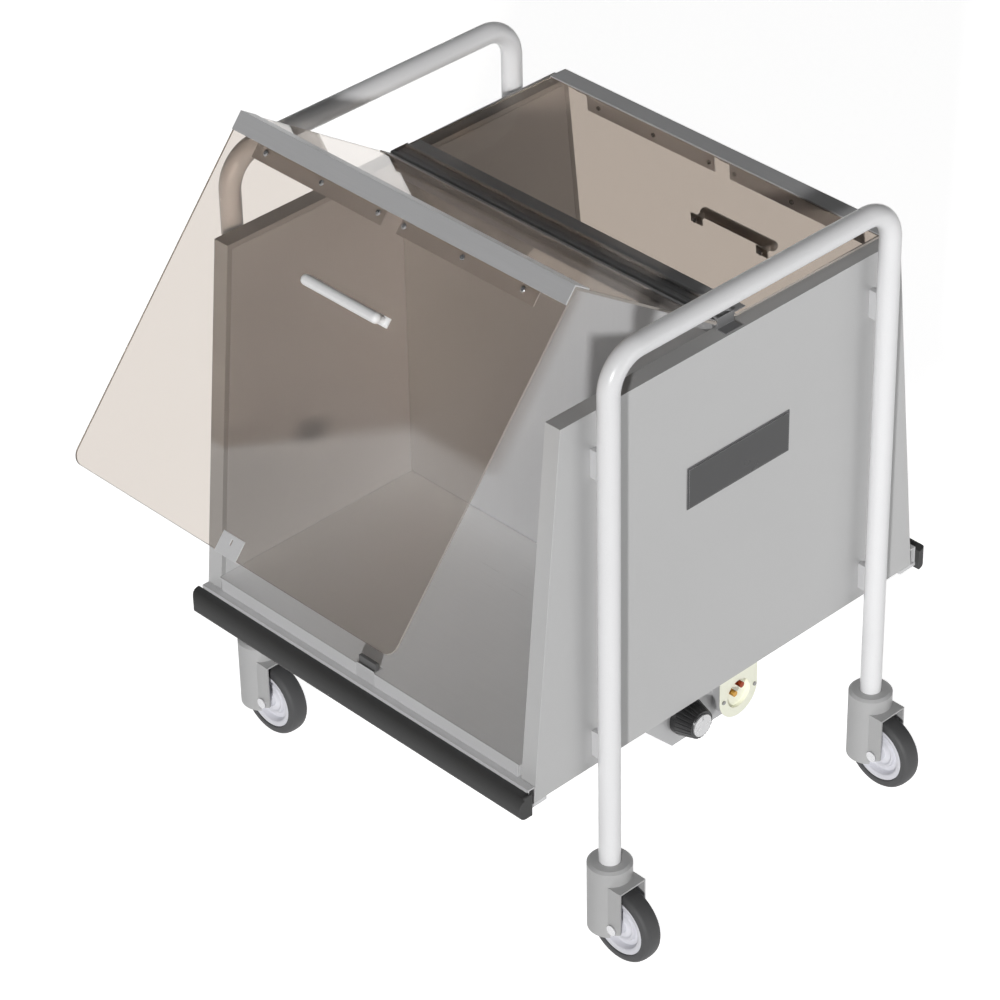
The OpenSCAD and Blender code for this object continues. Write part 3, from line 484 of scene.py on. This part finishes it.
FINISHES = {
    "skin": finish("painted_wall_sheet", tone(193, 193, 193), 0.10, 0.42, grain=(1400, 2e-5),
                   wear=(0.0012, BARE, 0.55), drift=(3.0, 0.05)),
    # The end walls' liners are painted lighter than the divider: painted light on the liners,
    # painted shade on the divider
    "liner": finish("brushed_inner_sheet_painted_light_and_shade", tone(184, 184, 185), 0.08, 0.38,
                    lines=(ALONG_Z, 1e-5, 0.06), wear=(0.0008, BARE, 0.4),
                    beyond=[(END_WALLS_PAINTED_LIGHTER, tone(214, 214, 215))]),
    "insulation": finish("mineral_wool", tone(196, 182, 130), 0.0, 0.95, grain=(420, 6e-4),
                         sheen=0.3),
    "base": finish("folded_base_sheet", tone(218, 218, 219), 0.08, 0.42, grain=(1400, 2e-5),
                   wear=(0.001, BARE, 0.5)),
    # The curbs' outer faces are painted darker than the deck they are folded from: painted shade
    "deck": finish("brushed_deck_painted_shade", tone(232, 232, 232), 0.08, 0.36,
                   lines=(ALONG_X, 8e-6, 0.05), wear=(0.0008, BARE, 0.4),
                   beyond=[(CURB_FACES_PAINTED_SHADE, tone(206, 206, 207))]),
    "element": finish("sheathed_rod", tone(90, 84, 80), 0.8, 0.45, grain=(900, 3e-5)),
    "beam": finish("dark_beam_sheet", tone(146, 146, 147), 0.0, 0.50, grain=(1200, 2e-5),
                   wear=(0.0010, tone(150, 150, 152), 0.5)),
    # The beam's brackets are painted dark, 124, as painted shade; the frames' tabs keep the
    # plate's light tone
    "bracket": finish("bent_steel_plate_painted_shade", tone(124, 124, 125), 0.2, 0.38,
                      lines=(ALONG_Z, 1e-5, 0.08), wear=(0.0008, BARE, 0.5),
                      beyond=[(FRAME_TABS_UNSHADED, tone(212, 212, 213))]),
    "hinge": finish("hinge_steel", tone(160, 160, 161), 0.15, 0.42, lines=(ALONG_X, 5e-6, 0.04),
                    wear=(0.0004, BARE, 0.4)),
    "bolt": finish("zinc_plate", tone(186, 187, 190), 0.9, 0.28, grain=(1600, 1e-5),
                   drift=(40.0, 0.08), wear=(0.0004, BARE, 0.4)),
    "tube": finish("polished_tube", tone(236, 236, 237), 0.0, 0.30, grain=(900, 3e-6),
                   drift=(6.0, 0.015), rough_drift=0.02,
                   wear=(0.0008, tone(210, 210, 211), 0.4)),
    "bumper": finish("black_moulding", tone(76, 76, 76), 0.0, 0.68, grain=(800, 6e-5),
                     wear=(0.0025, tone(94, 94, 94), 0.3), specular=0.25),
    # The strike plates above the catches are painted lighter than the catches: painted light
    "catch": finish("plain_plate_painted_light", tone(226, 226, 227), 0.10, 0.38, grain=(1500, 1e-5),
                    wear=(0.0006, BARE, 0.5), beyond=[(CATCHES_NOT_PAINTED_LIGHT, tone(196, 196, 197))]),
    # The pad is painted mid grey as painted shade: its grey stands for the shade in the catch's
    # slot
    "pad": finish("soft_pad_painted_shade", tone(104, 104, 104), 0.0, 0.75, grain=(1200, 8e-5)),
    "nameplate": finish("bare_plate", tone(62, 62, 63), 0.3, 0.30, grain=(1500, 1e-5),
                        wear=(0.0012, tone(192, 192, 194), 0.9), drift=(14.0, 0.10)),
    "housing": finish("folded_box_sheet", tone(184, 184, 185), 0.25, 0.42, grain=(1400, 2e-5),
                      wear=(0.0010, BARE, 0.5)),
    "thermostat": finish("ivory_moulding", tone(228, 222, 200), 0.0, 0.5, grain=(900, 3e-5)),
    "inlet": finish("cream_moulding", tone(254, 255, 236), 0.0, 0.42, grain=(900, 3e-5),
                    wear=(0.0008, tone(250, 249, 235), 0.5)),
    "inlet_pins": finish("brass", tone(196, 150, 74), 0.9, 0.3, grain=(1200, 1e-5),
                         drift=(60.0, 0.15),
                         beyond=[(UPPER_PIN, tone(150, 62, 34)),
                                 (INLET_SCREWS, tone(150, 150, 150))]),
    "stem": finish("turned_steel", tone(190, 190, 192), 0.85, 0.28,
                   lines=((200.0, 200.0, 2000.0), 1e-5, 0.08)),
    "knob": finish("black_knob_moulding", tone(30, 30, 31), 0.0, 0.34, grain=(900, 3e-5),
                   wear=(0.0008, tone(86, 86, 88), 0.5)),
    "knob_cap": finish("turned_cap", tone(205, 205, 206), 0.6, 0.30,
                       lines=((1800.0, 40.0, 40.0), 1e-5, 0.06), wear=(0.0006, BARE, 0.6)),
    "clear_sheet": clear_sheet("smoked_sheet", SHEET_TINT),
    "rail": finish("satin_rail", tone(204, 204, 205), 0.22, 0.36, lines=(ALONG_X, 1.2e-5, 0.10),
                   wear=(0.0008, BARE, 0.6)),
    "strip": finish("satin_strip", tone(200, 200, 201), 0.30, 0.40, lines=(ALONG_X, 1.2e-5, 0.08),
                    wear=(0.0006, BARE, 0.5)),
    "lid_handle": finish("polished_grip", tone(248, 248, 248), 0.0, 0.30,
                         lines=((8.0, 240.0, 240.0), 1e-6, 0.02), drift=(20.0, 0.03)),
    "hood": finish("caster_enamel", tone(180, 180, 180), 0.06, 0.44, grain=(1000, 4e-5),
                   wear=(0.0015, tone(196, 196, 197), 0.55), drift=(18.0, 0.06)),
    "axle": finish("plated_axle", tone(214, 214, 216), 0.8, 0.25, grain=(1600, 1e-5),
                   wear=(0.0005, BARE, 0.5)),
    "hub": finish("white_nylon", tone(226, 226, 232), 0.0, 0.42, grain=(1100, 3e-5),
                  drift=(25.0, 0.04)),
    "tyre": finish("tyre_rubber", tone(72, 72, 73), 0.0, 0.60, grain=(1000, 8e-5),
                   drift=(20.0, 0.12), wear=(0.002, tone(78, 78, 79), 0.3)),
}


# Pieces: points this close, in m, are one, in a CAD node and in a shape made here. Of the angles,
# in degrees, faces within the first are flat, and edges are rounded from the second and shaded
# sharp from the third. An edge shorter than the share of its rounding isn't rounded
WELD, CLOSE = 3e-6, 1e-6
FLAT_ANGLE, ROUNDED_FROM, SHARP_FROM = 0.8, 32, 38
SHORTEST_SHARE, ROUNDING_STEPS, FLAT_WEIGHT = 0.6, 2, 80


def add_piece(name, mesh, body, slot, node):
    """A finished piece on its body, which stands for a CAD node."""
    mesh.materials.clear()
    mesh.materials.append(FINISHES[slot])
    piece = place(name, mesh)
    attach(piece, body)
    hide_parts(node)


def mark_sawn_edges(mesh):
    """Marks the narrow faces round a sheet, which are sawn and look frosted."""
    same_way = 0.8
    broad = max(mesh.polygons, key=lambda face: face.area).normal.copy()
    layer = mesh.attributes.new("sawn", "FLOAT", "FACE")
    for item, face in zip(layer.data, mesh.polygons):
        item.value = 0.0 if abs(face.normal.dot(broad)) > same_way else 1.0


def plain_mesh(holder, name):
    """The mesh that an object's modifiers give. The object is removed."""
    graph = bpy.context.evaluated_depsgraph_get()
    mesh = bpy.data.meshes.new_from_object(holder.evaluated_get(graph))
    mesh.name = name
    bpy.data.objects.remove(holder)
    return mesh


def mesh_of(bm, name):
    """A shape's mesh. The shape is freed."""
    mesh = bpy.data.meshes.new(name)
    bm.to_mesh(mesh)
    bm.free()
    return mesh


def soften(node, width):
    """Adds a copy of a CAD node, its edges rounded as folding, moulding or turning leaves them."""
    bm = bmesh.new()
    bm.from_mesh(frame["nodes"][node].data)
    bmesh.ops.remove_doubles(bm, verts=bm.verts, dist=WELD)
    bmesh.ops.dissolve_limit(bm, angle_limit=math.radians(FLAT_ANGLE), verts=bm.verts,
                             edges=bm.edges)
    edges = [e for e in bm.edges
             if len(e.link_faces) == 2 and e.calc_face_angle(0) > math.radians(ROUNDED_FROM)
             and e.calc_length() > SHORTEST_SHARE * width]
    if edges:
        bmesh.ops.bevel(bm, geom=edges, offset=width, segments=ROUNDING_STEPS, profile=0.5,
                        affect="EDGES", clamp_overlap=True)
    smooth_by_angle(bm, SHARP_FROM)
    name = node + "_finished"
    holder = place("holder", mesh_of(bm, "holder"))
    weigh = holder.modifiers.new("weigh", "WEIGHTED_NORMAL")
    weigh.keep_sharp = True
    weigh.weight = FLAT_WEIGHT
    mesh = plain_mesh(holder, name)
    if slot_of(node) == "clear_sheet":
        mark_sawn_edges(mesh)
    add_piece(name, mesh, body_of(node), slot_of(node), node)


# Shapes made by rule


def node_tree(name, inputs):
    """An empty Geometry Nodes tree: (tree, its inputs, its output)."""
    tree = bpy.data.node_groups.new(name, "GeometryNodeTree")
    add_socket(tree, "Geometry", "INPUT", "Geometry")
    for label, kind, value in inputs:
        add_socket(tree, label, "INPUT", kind, value)
    add_socket(tree, "Geometry", "OUTPUT", "Geometry")
    return tree, tree.nodes.new("NodeGroupInput"), tree.nodes.new("NodeGroupOutput")


def end_tree(tree, take, give, shape):
    """Realize Instances and Set Material, then the output."""
    real = tree.nodes.new("GeometryNodeRealizeInstances")
    paint = tree.nodes.new("GeometryNodeSetMaterial")
    tree.links.new(shape, real.inputs["Geometry"])
    tree.links.new(real.outputs["Geometry"], paint.inputs["Geometry"])
    tree.links.new(take.outputs["Material"], paint.inputs["Material"])
    tree.links.new(paint.outputs["Geometry"], give.inputs["Geometry"])


def grow(tree, name, mesh, slot, **values):
    """Runs a tree on a mesh and returns the result as a plain mesh."""
    holder = place(name, mesh)
    modifier = holder.modifiers.new(name, "NODES")
    modifier.node_group = tree
    values["Material"] = FINISHES[slot]
    for item in tree.interface.items_tree:
        if item.in_out == "INPUT" and item.name in values:
            modifier[item.identifier] = values[item.name]
    holder.update_tag()
    return plain_mesh(holder, name)


def swept_tube_tree():
    """A round tube along a path of edges."""
    tree, take, give = node_tree("swept_tube", [
        ("Radius", "Float", 0.016), ("Sides", "Int", 48), ("Material", "Material", None)])
    path = tree.nodes.new("GeometryNodeMeshToCurve")
    ring = tree.nodes.new("GeometryNodeCurvePrimitiveCircle")
    sweep = tree.nodes.new("GeometryNodeCurveToMesh")
    sweep.inputs["Fill Caps"].default_value = True
    tree.links.new(take.outputs["Geometry"], path.inputs["Mesh"])
    tree.links.new(take.outputs["Radius"], ring.inputs["Radius"])
    tree.links.new(take.outputs["Sides"], ring.inputs["Resolution"])
    tree.links.new(path.outputs["Curve"], sweep.inputs["Curve"])
    tree.links.new(ring.outputs["Curve"], sweep.inputs["Profile Curve"])
    end_tree(tree, take, give, sweep.outputs["Mesh"])
    return tree


def set_on_points_tree():
    """A shape set on each point, its Z along the point's axis attribute."""
    tree, take, give = node_tree("set_on_points", [
        ("Shape", "Object", None), ("Material", "Material", None)])
    shape = tree.nodes.new("GeometryNodeObjectInfo")
    axis = tree.nodes.new("GeometryNodeInputNamedAttribute")
    axis.data_type = "FLOAT_VECTOR"
    axis.inputs["Name"].default_value = "axis"
    turn = tree.nodes.new("FunctionNodeAlignRotationToVector")
    turn.axis = "Z"
    spread = tree.nodes.new("GeometryNodeInstanceOnPoints")
    tree.links.new(take.outputs["Shape"], shape.inputs["Object"])
    tree.links.new(axis.outputs["Attribute"], turn.inputs["Vector"])
    tree.links.new(take.outputs["Geometry"], spread.inputs["Points"])
    tree.links.new(shape.outputs["Geometry"], spread.inputs["Instance"])
    tree.links.new(turn.outputs["Rotation"], spread.inputs["Rotation"])
    end_tree(tree, take, give, spread.outputs["Instances"])
    return tree


def lathe(profile, steps):
    """A ring: a closed profile of (radius, along) turned about Y."""
    bm = bmesh.new()
    rings = []
    for k in range(steps):
        a = 2 * math.pi * k / steps
        rings.append([bm.verts.new((r * math.cos(a), y, r * math.sin(a))) for r, y in profile])
    count = len(profile)
    for k in range(steps):
        here, there = rings[k], rings[(k + 1) % steps]
        for i in range(count):
            j = (i + 1) % count
            bm.faces.new((here[i], here[j], there[j], there[i]))
    bmesh.ops.remove_doubles(bm, verts=bm.verts, dist=CLOSE)
    bmesh.ops.recalc_face_normals(bm, faces=bm.faces)
    return bm


def smooth_by_angle(bm, angle):
    """Smooth faces, with a sharp edge wherever they meet at more than the angle."""
    for face in bm.faces:
        face.smooth = True
    for edge in bm.edges:
        if len(edge.link_faces) == 2 and edge.calc_face_angle(0) > math.radians(angle):
            edge.smooth = False


def rounded(points, radius):
    """A closed outline with its corners rounded off."""
    most, steps = 0.45, 4
    out = []
    count = len(points)
    for i in range(count):
        here = Vector(points[i])
        before = Vector(points[i - 1]) - here
        after = Vector(points[(i + 1) % count]) - here
        cut = min(radius, most * before.length, most * after.length)
        start = here + before.normalized() * cut
        end = here + after.normalized() * cut
        for k in range(steps + 1):
            t = k / steps
            out.append(tuple((1 - t) ** 2 * start + 2 * t * (1 - t) * here + t * t * end))
    return out


# Handle frames: the tube's radius, the legs' places, their foot, the bar's height and the bend
TUBE_R = 15.875 * MM
LEG_X, LEG_Y = 369.3 * MM, 273 * MM
LEG_FOOT, BAR_Z, BEND = 150 * MM, 983.3 * MM, 53 * MM
BEND_STEPS, TUBE_SIDES, TUBE_SHARP_FROM = 20, 56, 50


def frame_path(side):
    """The tube's centre line: up one leg, over the bar and down the other."""
    points = [(-LEG_Y, LEG_FOOT)]
    for k in range(BEND_STEPS + 1):
        a = math.pi / 2 * k / BEND_STEPS
        points.append((-LEG_Y + BEND * (1 - math.cos(a)), BAR_Z - BEND + BEND * math.sin(a)))
    points += [(-y, z) for y, z in reversed(points)]
    mesh = bpy.data.meshes.new("frame_path")
    mesh.from_pydata([(side * LEG_X, y, z) for y, z in points],
                     [(i, i + 1) for i in range(len(points) - 1)], [])
    return mesh


def make_frames():
    """The two handle frames, swept along their centre lines."""
    tree = swept_tube_tree()
    for side, end in ((-1, "left"), (1, "right")):
        name = "tube_frame_" + end
        mesh = grow(tree, name, frame_path(side), "tube", Radius=TUBE_R, Sides=TUBE_SIDES)
        bm = bmesh.new()
        bm.from_mesh(mesh)
        bmesh.ops.remove_doubles(bm, verts=bm.verts, dist=CLOSE)
        bmesh.ops.recalc_face_normals(bm, faces=bm.faces)
        smooth_by_angle(bm, TUBE_SHARP_FROM)
        bm.to_mesh(mesh)
        bm.free()
        add_piece(name, mesh, "cart", "tube", "handle_frame_" + end)


# Lid screws. A closed lid's hinge axis and outer corner as (Y, Z), the wall's foot and top in mm,
# whose slope the sheet has, and how deep under the rail's face the sheet begins, ends and the
# clamp strip ends
HINGE = (14 * MM, 905 * MM)
CORNER = (336.4 * MM, 900.2 * MM)
WALL_FOOT, WALL_TOP = (388, 306), (331, 890)
LEAN = math.atan((WALL_FOOT[0] - WALL_TOP[0]) / (WALL_TOP[1] - WALL_FOOT[1]))
SHEET_OUT, SHEET_IN, UNDER = 2 * MM, 6 * MM, 8 * MM
FRONT_LID_OPEN = 34

# The screws' places: X from the middle, in mm, and how far down the slope from the corner
RAIL_SCREWS_X, RAIL_SCREWS_DOWN = (25, 136, 248), 36.5 * MM
GRIP_SCREWS_X, GRIP_SCREWS_DOWN = 65, 158 * MM

# Screws: how many sides each part has, and the socket's share of the head's radius and height
HEAD_SIDES, SHANK_SIDES, NUT_SIDES = 24, 12, 6
SOCKET_SHARE, SOCKET_FLOOR = 0.42, 0.45
SHANK_CHAMFER, SHANK_PAST_NUT = 0.3 * MM, 0.8 * MM
SCREW_SHARP_FROM = 40

# The domed head's outline, in shares of its radius and height
DOME = ((1, 0), (1, 0.35), (0.86, 0.75), (0.55, 1))


def screw_shape(name, head_r, head_h, shank_r, grip, nut_r, nut_h):
    """A domed screw with a six-sided socket, its shank and a nut; the head's seat is at Z 0."""
    bm = bmesh.new()
    turns = [math.radians(360 / HEAD_SIDES * k) for k in range(HEAD_SIDES)]
    rings = []
    for across, up in DOME:
        r = across * head_r
        rings.append([bm.verts.new((r * math.cos(a), r * math.sin(a), up * head_h))
                      for a in turns])
    half_side = math.radians(30)
    for z in (head_h, SOCKET_FLOOR * head_h):
        ring = []
        for a in turns:
            r = SOCKET_SHARE * head_r * math.cos(half_side)
            r /= math.cos(a % (2 * half_side) - half_side)
            ring.append(bm.verts.new((r * math.cos(a), r * math.sin(a), z)))
        rings.append(ring)
    for low, high in zip(rings, rings[1:]):
        for k in range(HEAD_SIDES):
            j = (k + 1) % HEAD_SIDES
            bm.faces.new((low[k], low[j], high[j], high[k]))
    bm.faces.new(rings[-1])
    bm.faces.new(list(reversed(rings[0])))
    foot = -grip - nut_h
    for r, top, low, sides, chamfer in (
            (shank_r, 0, foot - SHANK_PAST_NUT, SHANK_SIDES, SHANK_CHAMFER),
            (nut_r, -grip, foot, NUT_SIDES, 0)):
        bmesh.ops.create_cone(bm, cap_ends=True, segments=sides, radius1=r - chamfer, radius2=r,
                              depth=top - low, matrix=Matrix.Translation((0, 0, (top + low) / 2)))
    smooth_by_angle(bm, SCREW_SHARP_FROM)
    return place(name, mesh_of(bm, name))


def on_lid(x, drop, depth, lid):
    """A point of a lid's sloping sheet, and the sheet's outward direction, at rest.
    drop is how far down the slope it is from the corner, depth how far under the face."""
    down = Vector((0, math.sin(LEAN), -math.cos(LEAN)))
    out = Vector((0, math.cos(LEAN), math.sin(LEAN)))
    point = Vector((x, CORNER[0] - HINGE[0], CORNER[1] - HINGE[1])) + drop * down - depth * out
    if lid == "front":
        turn = Matrix.Rotation(math.radians(FRONT_LID_OPEN), 3, "X")
        point, out = turn @ point, turn @ out
    point += Vector((0, *HINGE))
    if lid == "front":
        point.y, out.y = -point.y, -out.y
    return point, out


def point_mesh(name, places):
    """Points with an axis each, from pairs of place and axis."""
    mesh = bpy.data.meshes.new(name)
    mesh.from_pydata([tuple(p) for p, _ in places], [], [])
    layer = mesh.attributes.new("axis", "FLOAT_VECTOR", "POINT")
    for item, (_, axis) in zip(layer.data, places):
        item.vector = axis
    return mesh


def make_lid_screws():
    """The screws of the rails and the grips on both lids."""
    tree = set_on_points_tree()
    outer = screw_shape("rail_screw", head_r=4 * MM, head_h=2 * MM, shank_r=2 * MM,
                        grip=UNDER - SHEET_OUT, nut_r=3.8 * MM, nut_h=2.2 * MM)
    inner = screw_shape("grip_screw", head_r=4 * MM, head_h=2 * MM, shank_r=2 * MM,
                        grip=2 * MM, nut_r=2 * MM, nut_h=2 * MM)
    for lid in ("front", "rear"):
        rail = [on_lid(side * x * MM, RAIL_SCREWS_DOWN, SHEET_OUT, lid)
                for side in (-1, 1) for x in RAIL_SCREWS_X]
        grip = [on_lid(side * GRIP_SCREWS_X * MM, GRIP_SCREWS_DOWN, SHEET_IN, lid)
                for side in (-1, 1)]
        grip = [(point, -out) for point, out in grip]
        for name, shape, places in (("rail_screws_", outer, rail), ("grip_screws_", inner, grip)):
            points = point_mesh(name + "points", places)
            mesh = grow(tree, name + lid, points, "bolt", Shape=shape)
            add_piece(name + lid, mesh, "lid_" + lid, "bolt", "lid_screws_" + lid)
    for shape in (outer, inner):
        bpy.data.objects.remove(shape)


# Wheels: how far the axle stands from the caster's upright axis and from the floor
WHEEL_TRAIL, WHEEL_RADIUS = 29.5 * MM, 60 * MM
HUB_STEPS, TYRE_STEPS, WHEEL_SHARP_FROM = 72, 96, 35


def add_ring(name, outline, round_off, steps, centre, body, slot, node):
    """Adds a ring from an outline of (radius, along) in mm, its corners rounded."""
    bm = lathe(rounded([(r * MM, y * MM) for r, y in outline], round_off * MM), steps)
    bmesh.ops.translate(bm, verts=bm.verts, vec=centre)
    smooth_by_angle(bm, WHEEL_SHARP_FROM)
    add_piece(name, mesh_of(bm, name), body, slot, node)


def mirrored(half):
    """A closed outline from its half with Y above 0, listed from the bore outwards."""
    return half + [(r, -y) for r, y in reversed(half)]


def make_wheels():
    """A stepped hub and a tyre on each of the four axles."""
    hub = mirrored([(5.1, 22.3), (11.5, 22.3), (12, 9.0), (20, 7.0), (22.5, 9.5), (25, 9.5),
                    (27, 4.0), (34, 4.0), (37, 13.0), (40.5, 14.0), (45.4, 14.0)])
    tyre = mirrored([(45.5, 15.0), (49.0, 15.5), (55.5, 14.8), (58.6, 11.0), (59.8, 5.5),
                     (60.0, 0.8)])
    for n, (sx, sy) in enumerate(((1, -1), (-1, -1), (1, 1), (-1, 1)), start=1):
        centre = Vector((sx * LEG_X + WHEEL_TRAIL, sy * LEG_Y, WHEEL_RADIUS))
        body = "wheel_%d" % n
        add_ring("hub_%d" % n, hub, 1.2, HUB_STEPS, centre, body, "hub", "wheel_hub_%d" % n)
        add_ring("tread_%d" % n, tyre, 1.6, TYRE_STEPS, centre, body, "tyre", "tyre_%d" % n)


# How far the edges of each node's copy are rounded, in mm
EDGES = {
    "outer_skin_left": 1.2, "outer_skin_right": 1.2, "wall_liners": 0.5, "base_pan": 0.8,
    "deck_plate": 0.8, "divider": 1.0, "centre_beam": 1.0, "beam_brackets": 0.6,
    "standoff_tabs": 0.8, "lid_catches": 0.8, "catch_pads": 0.5, "nameplate": 0.5,
    "control_housing": 1.2, "power_inlet": 0.6, "knob": 0.4, "knob_cap": 0.4,
    "fixed_hinge_leaves": 0.2,
}
for lid in ("front", "rear"):
    EDGES.update({"bumper_" + lid: 1.6, "hinge_leaf_" + lid: 0.2, "top_sheet_" + lid: 0.6,
                  "front_sheet_" + lid: 0.6, "corner_rail_" + lid: 0.5, "clamp_strips_" + lid: 0.4,
                  "strike_plate_" + lid: 0.4, "lid_handle_" + lid: 0.4})
for n in "1234":
    EDGES.update({"caster_hood_" + n: 1.2, "axle_" + n: 0.5})

# Nodes that the scene's own pieces stand for
REMADE = {"handle_frame_left", "handle_frame_right", "lid_screws_front", "lid_screws_rear"}
REMADE |= {part + n for part in ("wheel_hub_", "tyre_") for n in "1234"}


def finish_nodes():
    """Rounds the edges of what shows, and paints the rest as it is."""
    for node, thing in frame["nodes"].items():
        if node in EDGES:
            soften(node, EDGES[node] * MM)
        elif node not in REMADE:
            for held in thing.material_slots:
                held.material = FINISHES[slot_of(node)]


make_camera()
make_floor()
make_world()
make_lights()
finish_nodes()
make_frames()
make_lid_screws()
make_wheels()
